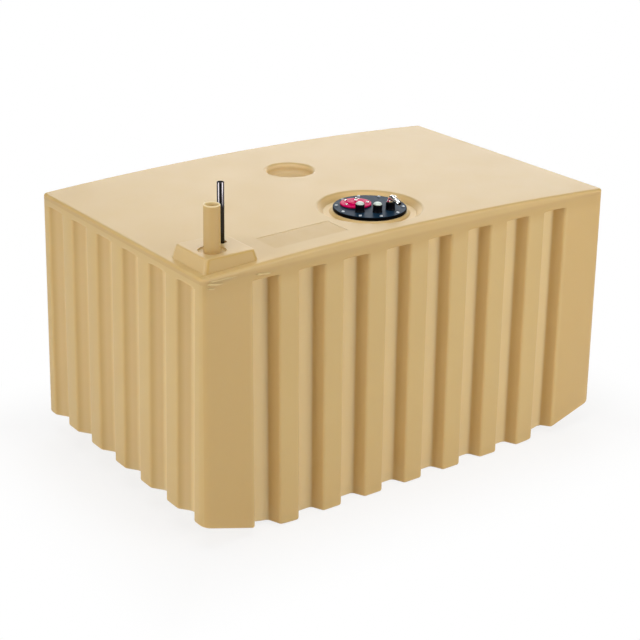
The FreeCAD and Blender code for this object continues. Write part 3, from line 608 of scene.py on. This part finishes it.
def tub_outline(z):
    """The tub's fluted plan at a height, counter-clockwise from the front left corner."""
    x = HALF_LONG + wall_reach(z)
    y = HALF_DEEP + wall_reach(z)
    long = wall_corners(FRONT_FLUTES, FRONT_PITCH)
    short = wall_corners(END_FLUTES, END_PITCH)
    front = [(a, -y + d, z) for a, d in long]
    right = [(x - d, a, z) for a, d in short]
    back = [(-a, y - d, z) for a, d in long]
    left = [(-x + d, -a, z) for a, d in short]
    return [(-x, -y, z), *front, (x, -y, z), *right, (x, y, z), *back, (-x, y, z), *left]


def at_height(z):
    return lambda v: abs(v.co.z - z) < 0.00001


def raise_rim(piece, z, to_z):
    """Extrudes the tub's rim up the drafted walls."""
    pick(piece, "VERT", at_height(z))
    bpy.ops.mesh.extrude_edges_move(TRANSFORM_OT_translate={"value": (0, 0, to_z - z)})
    lean = wall_reach(z) - wall_reach(to_z)
    for wall, (dx, dy) in {"front": (0, 1), "back": (0, -1), "left": (1, 0), "right": (-1, 0)}.items():
        pick(piece, "VERT", lambda v: at_height(to_z)(v) and wall_of(v.co) == wall)
        move(dx * lean, dy * lean)
    shrink = (RIM_CORNER + wall_reach(to_z)) / (RIM_CORNER + wall_reach(z))
    for sx in (-1, 1):
        for sy in (-1, 1):
            pick(piece, "VERT", lambda v: at_height(to_z)(v) and wall_of(v.co) == "corner"
                 and v.co.x * sx > 0 and v.co.y * sy > 0)
            centre = (sx * (HALF_LONG - RIM_CORNER), sy * (HALF_DEEP - RIM_CORNER), to_z)
            stretch(shrink, shrink, 1.0, centre)


def close_flutes(piece, z, share):
    """Brings the flutes at one height out towards the wall, to a share of their depth."""
    x = HALF_LONG + wall_reach(z)
    y = HALF_DEEP + wall_reach(z)
    for wall, (sx, sy) in {"front": (0, -1), "back": (0, 1), "left": (-1, 0), "right": (1, 0)}.items():
        pick(piece, "VERT", lambda v: at_height(z)(v) and wall_of(v.co) == wall)
        stretch(share if sx else 1.0, share if sy else 1.0, 1.0, (sx * x, sy * y, z))


def cut_floor(piece):
    """Cuts the floor: level in the middle, turned up at both ends through a wide bend."""
    tilt = math.atan2(FLOOR_RISE, HALF_LONG + FLARE - RISE_START)
    bend_x = RISE_START - FLOOR_BEND * math.tan(tilt / 2)
    cuts = [((0, 0, 0), (0, 0, 1))]
    for side in (-1, 1):
        for k in range(1, BEND_STEPS + 1):
            turn = tilt * k / BEND_STEPS
            touch = (side * (bend_x + FLOOR_BEND * math.sin(turn)), 0, FLOOR_BEND * (1 - math.cos(turn)))
            cuts.append((touch, (-side * math.sin(turn), 0, math.cos(turn))))
    for point, normal in cuts:
        bpy.ops.mesh.select_all(action="SELECT")
        bpy.ops.mesh.bisect(plane_co=point, plane_no=normal, use_fill=True, clear_inner=True)


def foot_edge(edge):
    """True where the floor meets a wall."""
    if len(edge.link_faces) != 2:
        return False
    low, high = sorted(face.normal.z for face in edge.link_faces)
    return low < -0.9 and high > -0.5


def fluted_tub(finish):
    """The tub: its plan raised up the drafted walls, closed over the flutes, cut for the floor and thickened."""
    below = -0.010
    piece = trace(tub_outline(below))
    corner = RIM_CORNER + wall_reach(below)
    near_corner = Vector((HALF_LONG + wall_reach(below), HALF_DEEP + wall_reach(below), below))
    pick(piece, "VERT", lambda v: (Vector((abs(v.co.x), abs(v.co.y), v.co.z)) - near_corner).length < 0.001)
    bpy.ops.mesh.bevel(offset=corner, segments=10, affect="VERTICES")
    slant = math.atan2(FLUTE_RUN, FLUTE_DEEP)
    tangent = FLUTE_ROUND * math.tan((math.pi / 2 - slant) / 2)
    pick(piece, "VERT", lambda v: wall_of(v.co) != "corner"
         and min(abs(abs(v.co.x) - HALF_LONG + RIM_CORNER), abs(abs(v.co.y) - HALF_DEEP + RIM_CORNER)) > 0.0005)
    bpy.ops.mesh.bevel(offset=tangent, segments=4, affect="VERTICES")
    bpy.ops.mesh.select_all(action="SELECT")
    bpy.ops.mesh.delete(type="ONLY_FACE")
    z, share = below, 1.0
    for rise, to_share in FLUTE_CEILING:
        to_z = FLUTE_TOP + rise
        raise_rim(piece, z, to_z)
        if to_share < share:
            close_flutes(piece, to_z, to_share / share)
        z, share = to_z, to_share
    raise_rim(piece, z, SPLIT)
    cut_floor(piece)
    tidy_normals()
    pick(piece, "EDGE", foot_edge)
    bpy.ops.mesh.bevel(offset=FOOT_ROUND, segments=4, affect="EDGES", clamp_overlap=False)
    tidy_normals()
    bpy.ops.object.mode_set(mode="OBJECT")
    apply_modifier(piece, "SOLIDIFY", thickness=WALL, offset=-1.0)
    finish_piece(piece, "shell_tub", finish, "shell", "tank_body")


# ridges of moulding flash on the front wall, each a path of (place along the wall, height, radius)
FLASH = [
    [(-0.534, 0.5800, 0.0007), (-0.527, 0.5792, 0.0024), (-0.519, 0.5772, 0.0017), (-0.511, 0.5760, 0.0022),
     (-0.503, 0.5752, 0.0012), (-0.494, 0.5746, 0.0006)],
    [(-0.533, 0.5705, 0.0006), (-0.528, 0.5700, 0.0018), (-0.521, 0.5688, 0.0014), (-0.514, 0.5680, 0.0006)],
    [(-0.531, 0.5835, 0.0006), (-0.520, 0.5838, 0.0015), (-0.504, 0.5832, 0.0010), (-0.489, 0.5838, 0.0014),
     (-0.474, 0.5836, 0.0009), (-0.460, 0.5840, 0.0005)],
    [(-0.421, 0.5782, 0.0007), (-0.413, 0.5772, 0.0022), (-0.403, 0.5757, 0.0016), (-0.393, 0.5748, 0.0021),
     (-0.383, 0.5740, 0.0007)]]


def flash_bead(path):
    """One ridge of moulding flash on the front wall: a small ring drawn along it, thicker in the middle."""
    spots = [(Vector((x, -HALF_DEEP - wall_reach(z), z)), radius) for x, z, radius in path]
    (here, radius), *rest = spots
    piece = start(bpy.ops.mesh.primitive_circle_add, vertices=10, radius=radius)
    bpy.ops.transform.rotate(value=math.pi / 2, orient_axis="Y", center_override=(0, 0, 0))
    move(*here)
    for there, to_radius in rest:
        bpy.ops.mesh.extrude_edges_move(TRANSFORM_OT_translate={"value": there - here})
        share = to_radius / radius
        stretch(share, share, share, there)
        here, radius = there, to_radius
    for end, reach in (spots[0], spots[-1]):
        pick(piece, "VERT", lambda v: (v.co - end).length < reach * 1.1)
        bpy.ops.mesh.merge(type="CENTER")
    tidy_normals()
    bpy.ops.object.mode_set(mode="OBJECT")
    return piece


def moulding_flash(finish):
    """The flash left on the parting line near the filler's corner."""
    beads = [flash_bead(path) for path in FLASH]
    for bead in beads:
        bead.select_set(True)
    bpy.context.view_layer.objects.active = beads[0]
    bpy.ops.object.join()
    finish_piece(beads[0], "moulding_flash", finish, "shell", angle=60)


# the sender plate's pieces

def middle(node):
    """The middle of a CAD node's footprint, at the height of its underside."""
    low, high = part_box(node)
    return Vector(((low.x + high.x) / 2, (low.y + high.y) / 2, low.z))


def turned(rings, sides=48):
    """Turns a piece about the upright axis: a circle, extruded and scaled from ring to ring."""
    radius, z = rings[0]
    piece = start(bpy.ops.mesh.primitive_circle_add, vertices=sides, radius=radius)
    move(z=z)
    for to_radius, to_z in rings[1:]:
        bpy.ops.mesh.extrude_edges_move(TRANSFORM_OT_translate={"value": (0, 0, to_z - z)})
        stretch(to_radius / radius, to_radius / radius, 1.0, (0, 0, to_z))
        radius, z = to_radius, to_z
    return piece


def cap(piece, z):
    """Closes a turned piece with a face at one height."""
    pick(piece, "VERT", lambda v: at_height(z)(v) and v.is_boundary)
    bpy.ops.mesh.edge_face_add()


def cut_away(piece, cutter):
    """Cuts one piece out of another and removes the cutter."""
    for item in (cutter, piece):
        if item.mode == "EDIT":
            bpy.ops.object.mode_set(mode="OBJECT")
    bpy.ops.object.select_all(action="DESELECT")
    piece.select_set(True)
    bpy.context.view_layer.objects.active = piece
    apply_modifier(piece, "BOOLEAN", operation="DIFFERENCE", object=cutter, solver="EXACT", use_self=True)
    bpy.data.objects.remove(cutter)


def pan_head(radius, height):
    """One pan head with a cross recess, standing on the origin."""
    piece = turned([(radius * 0.97, 0.0), (radius, height * 0.15), (radius * 0.98, height * 0.45),
                    (radius * 0.90, height * 0.70), (radius * 0.72, height * 0.90),
                    (radius * 0.45, height)], 24)
    cap(piece, 0.0)
    cap(piece, height)
    tidy_normals()
    bpy.ops.object.mode_set(mode="OBJECT")
    cross = start(bpy.ops.mesh.primitive_cube_add, size=1.0)
    stretch(radius * 1.15, radius * 0.30, height)
    move(z=height)
    bpy.ops.mesh.duplicate_move()
    bpy.ops.transform.rotate(value=math.pi / 2, orient_axis="Z", center_override=(0, 0, height))
    cut_away(piece, cross)
    return piece


def set_out(piece, places, turn):
    """Copies a head to each place, every copy turned on from the one before, and joins them."""
    heads = []
    for number, place in enumerate(places):
        bpy.ops.object.select_all(action="DESELECT")
        piece.select_set(True)
        bpy.context.view_layer.objects.active = piece
        bpy.ops.object.duplicate(linked=False)
        copy = bpy.context.object
        copy.location = place
        copy.rotation_euler.z = turn * number
        heads.append(copy)
    bpy.data.objects.remove(piece)
    bpy.ops.object.select_all(action="DESELECT")
    for head in heads:
        head.select_set(True)
    bpy.context.view_layer.objects.active = heads[0]
    bpy.ops.object.transform_apply(location=True, rotation=True, scale=True)
    bpy.ops.object.join()
    return bpy.context.object


def circle_of(centre, radius, count, first):
    turns = [math.radians(first + 360 / count * k) for k in range(count)]
    return [centre + Vector((math.cos(a), math.sin(a), 0)) * radius for a in turns]


def plate_screws(finish):
    plate = middle("sender_plate")
    plate.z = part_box("sender_plate")[1].z
    places = circle_of(plate, PLATE_SCREW_CIRCLE, 10, 0)
    heads = set_out(pan_head(SCREW_RADIUS, PLATE_SCREW_TALL), places, 0.7)
    finish_piece(heads, "plate_pan_heads", finish, "bright_steel", "plate_screws")


def sender_head(red, steel):
    """The red head: a rounded flange, a raised hub with a ring groove, five screws and the terminal."""
    foot = middle("sender_head")
    head = turned(HEAD_RINGS, 72)
    cap(head, 0.0)
    cap(head, HEAD_TALL)
    tidy_normals()
    head.location = foot
    finish_piece(head, "red_sender_head", red, "red_plastic", "sender_head")
    flange = foot + Vector((0, 0, FLANGE_TALL))
    places = circle_of(flange, SENDER_SCREW_CIRCLE, 5, 40)
    heads = set_out(pan_head(SCREW_RADIUS, SENDER_SCREW_TALL), places, 1.1)
    finish_piece(heads, "sender_pan_heads", steel, "bright_steel", "sender_screws")
    sender_terminal(steel)


def sender_terminal(finish):
    """A chamfered hexagon nut with the threaded stud standing out of it."""
    nut = turned(NUT_RINGS, 6)
    cap(nut, 0.0)
    cap(nut, NUT_TALL)
    tidy_normals()
    bpy.ops.object.mode_set(mode="OBJECT")
    stud = turned(STUD_RINGS, 20)
    cap(stud, NUT_TALL)
    cap(stud, STUD_TALL)
    tidy_normals()
    bpy.ops.object.mode_set(mode="OBJECT")
    nut.select_set(True)
    bpy.context.view_layer.objects.active = nut
    bpy.ops.object.join()
    nut.location = middle("sender_terminal")
    finish_piece(nut, "terminal_nut_and_stud", finish, "bright_steel", "sender_terminal")


def fitting(name, finish):
    """A black barrel on a low collar, with a softened top edge and a shallow waist."""
    barrel = turned(FITTING_RINGS, 56)
    cap(barrel, 0.0)
    cap(barrel, FITTING_TALL)
    tidy_normals()
    barrel.location = middle(name)
    finish_piece(barrel, name + "_barrel", finish, "black_plastic", name)


def plug(name, finish):
    """A domed blanking plug with a rolled edge."""
    dome = turned(PLUG_RINGS, 48)
    cap(dome, 0.0)
    cap(dome, PLUG_TALL)
    tidy_normals()
    dome.location = middle(name)
    finish_piece(dome, name + "_dome", finish, "bright_steel", name)


def elbow_line():
    """The elbow's foot, the point where its bend ends and the direction of its barb."""
    foot = middle("right_fitting")
    foot.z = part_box("right_fitting")[1].z
    knee = Vector((0, -ELBOW_BEND * (1 + math.sin(ELBOW_DIP)), ELBOW_RISE + ELBOW_BEND * math.cos(ELBOW_DIP)))
    return foot, knee, Vector((0, -math.cos(ELBOW_DIP), -math.sin(ELBOW_DIP)))


def hose_elbow(finish):
    """The bent pipe on its hexagon, with a collar, two barbs and an open mouth, dipping to the front."""
    foot, tip, ahead = elbow_line()
    nut = turned(HEXAGON_RINGS, 6)
    cap(nut, 0.0)
    cap(nut, HEXAGON_TALL)
    tidy_normals()
    bpy.ops.object.mode_set(mode="OBJECT")
    radius = ELBOW_PIPE
    pipe = turned([(radius, ELBOW_FOOT), (radius, ELBOW_RISE)], 40)
    bend = (0, -ELBOW_BEND, ELBOW_RISE)
    bpy.ops.mesh.spin(steps=12, angle=-math.pi / 2 - ELBOW_DIP, center=bend, axis=(1, 0, 0))
    for step, to_radius in ELBOW_RINGS:
        bpy.ops.mesh.extrude_edges_move(TRANSFORM_OT_translate={"value": ahead * step})
        tip = tip + ahead * step
        share = to_radius / radius
        stretch(share, share, share, tip)
        radius = to_radius
    bpy.ops.mesh.edge_face_add()
    cap(pipe, ELBOW_FOOT)
    tidy_normals()
    bpy.ops.object.mode_set(mode="OBJECT")
    nut.select_set(True)
    bpy.context.view_layer.objects.active = nut
    bpy.ops.object.join()
    nut.location = foot
    finish_piece(nut, "barbed_elbow", finish, "chrome", "hose_elbow")


def vent_tube(finish):
    """The open vent tube with a rounded mouth, on the shank that sits in the pad."""
    foot = middle("vent_tube")
    tall = VENT_TOP - foot.z
    tube = turned([(0.0095, 0.0), (0.0095, VENT_SEAT - 0.0004), (0.0091, VENT_SEAT), (0.0078, VENT_SEAT),
                   (0.0075, VENT_SEAT + 0.0004), (0.0075, tall - 0.0010), (0.0073, tall - 0.0003),
                   (0.0069, tall), (0.0066, tall), (0.0062, tall - 0.0003), (0.0060, tall - 0.0010),
                   (0.0060, 0.0), (0.0095, 0.0)], 48)
    tidy_normals()
    tube.location = foot
    finish_piece(tube, "dark_vent_tube", finish, "black_plastic", "vent_tube")


# studio

def camera():
    """The camera of the photograph, fitted to the tank's corners."""
    lens_of_long_side = 87.10
    yaw, pitch, roll = (math.radians(angle) for angle in (36.563, 22.071, 1.067))
    ahead = Vector((math.sin(yaw) * math.cos(pitch), math.cos(yaw) * math.cos(pitch), -math.sin(pitch)))
    level = Vector((math.cos(yaw), -math.sin(yaw), 0.0))
    upward = level.cross(ahead)
    right = math.cos(roll) * level + math.sin(roll) * upward
    top = math.cos(roll) * upward - math.sin(roll) * level
    data = bpy.data.cameras.new("camera")
    data.lens = lens_of_long_side
    data.sensor_width = 36.0
    data.clip_end = 100.0
    eye = bpy.data.objects.new("camera", data)
    bpy.context.scene.collection.objects.link(eye)
    turn = Matrix((right, top, -ahead)).transposed().to_4x4()
    eye.matrix_world = Matrix.Translation((-2.0162, -2.7014, 1.6402)) @ turn
    bpy.context.scene.camera = eye


def lamp(name, place, target, size, power):
    data = bpy.data.lights.new(name, "AREA")
    data.shape = "RECTANGLE"
    data.size, data.size_y = size
    data.energy = power
    soft = bpy.data.objects.new(name, data)
    bpy.context.scene.collection.objects.link(soft)
    soft.location = place
    soft.rotation_euler = (Vector(target) - Vector(place)).to_track_quat("-Z", "Y").to_euler()


def studio():
    bpy.context.scene.view_settings.view_transform = "Standard"
    world = bpy.data.worlds.new("studio")
    world.use_nodes = True
    bpy.context.scene.world = world
    back = world.node_tree.nodes["Background"]
    back.inputs["Color"].default_value = (1.0, 1.0, 1.0, 1.0)
    back.inputs["Strength"].default_value = 0.08
    for settings in LAMPS:
        lamp(*settings)
    floor_plane()


def floor_plane():
    """A pale floor that is seen as white away from the tank and keeps its shadow."""
    bpy.ops.object.select_all(action="DESELECT")
    bpy.ops.mesh.primitive_plane_add(size=40.0, location=(0, 0, -0.0005))
    floor = bpy.context.object
    floor.name = "floor"
    pale = Finish("pale_floor", Roughness=0.9, Base_Color=(0.9, 0.9, 0.9, 1.0))
    path = pale.tree.nodes.new("ShaderNodeLightPath")
    camera_ray, glossy_ray, transmission_ray = (
        Value(pale, path.outputs[kind]) for kind in ("Is Camera Ray", "Is Glossy Ray", "Is Transmission Ray"))
    seen = camera_ray.most(glossy_ray).most(transmission_ray)
    white = pale.node("ShaderNodeEmission", {}, {"Color": (1, 1, 1, 1), "Strength": 1.0})
    x, y, z = pale.axes()
    away = (x.size() - TUB_HIGH.x).most(y.size() - TUB_HIGH.y)
    open_floor = pale.node("ShaderNodeMapRange", {"interpolation_type": "SMOOTHSTEP"}, {
        "Value": away, "From Min": 0.0, "From Max": 0.30, "To Min": 0.80, "To Max": 1.0})
    mixed = pale.node("ShaderNodeMixShader", {}, {
        0: seen * open_floor, 1: Value(pale, pale.shader.outputs[0]), 2: white})
    pale.tree.links.new(mixed.socket, pale.tree.nodes["Material Output"].inputs["Surface"])
    floor.data.materials.append(pale.material)


def dress(node, finish):
    """Gives a CAD node its finish."""
    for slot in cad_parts[node].material_slots:
        slot.material = finish


steel = bright_steel()
satin = plug_steel()
plastic = black_plastic()
rubber = black_rubber()
fluted_tub(tub_finish())
moulding_flash(flash_finish())
dressed = {"tank_deck": deck_finish(), "plate_gasket": rubber,
           "sender_plate": plate_plastic(), "sender_gasket": rubber}
for node, finish in dressed.items():
    dress(node, finish)
plate_screws(zinc_steel())
sender_head(red_plastic(), steel)
for node in ("left_fitting", "middle_fitting", "right_fitting"):
    fitting(node, plastic)
for node in ("left_plug", "middle_plug"):
    plug(node, satin)
hose_elbow(chrome())
vent_tube(dark_tube())
camera()
studio()
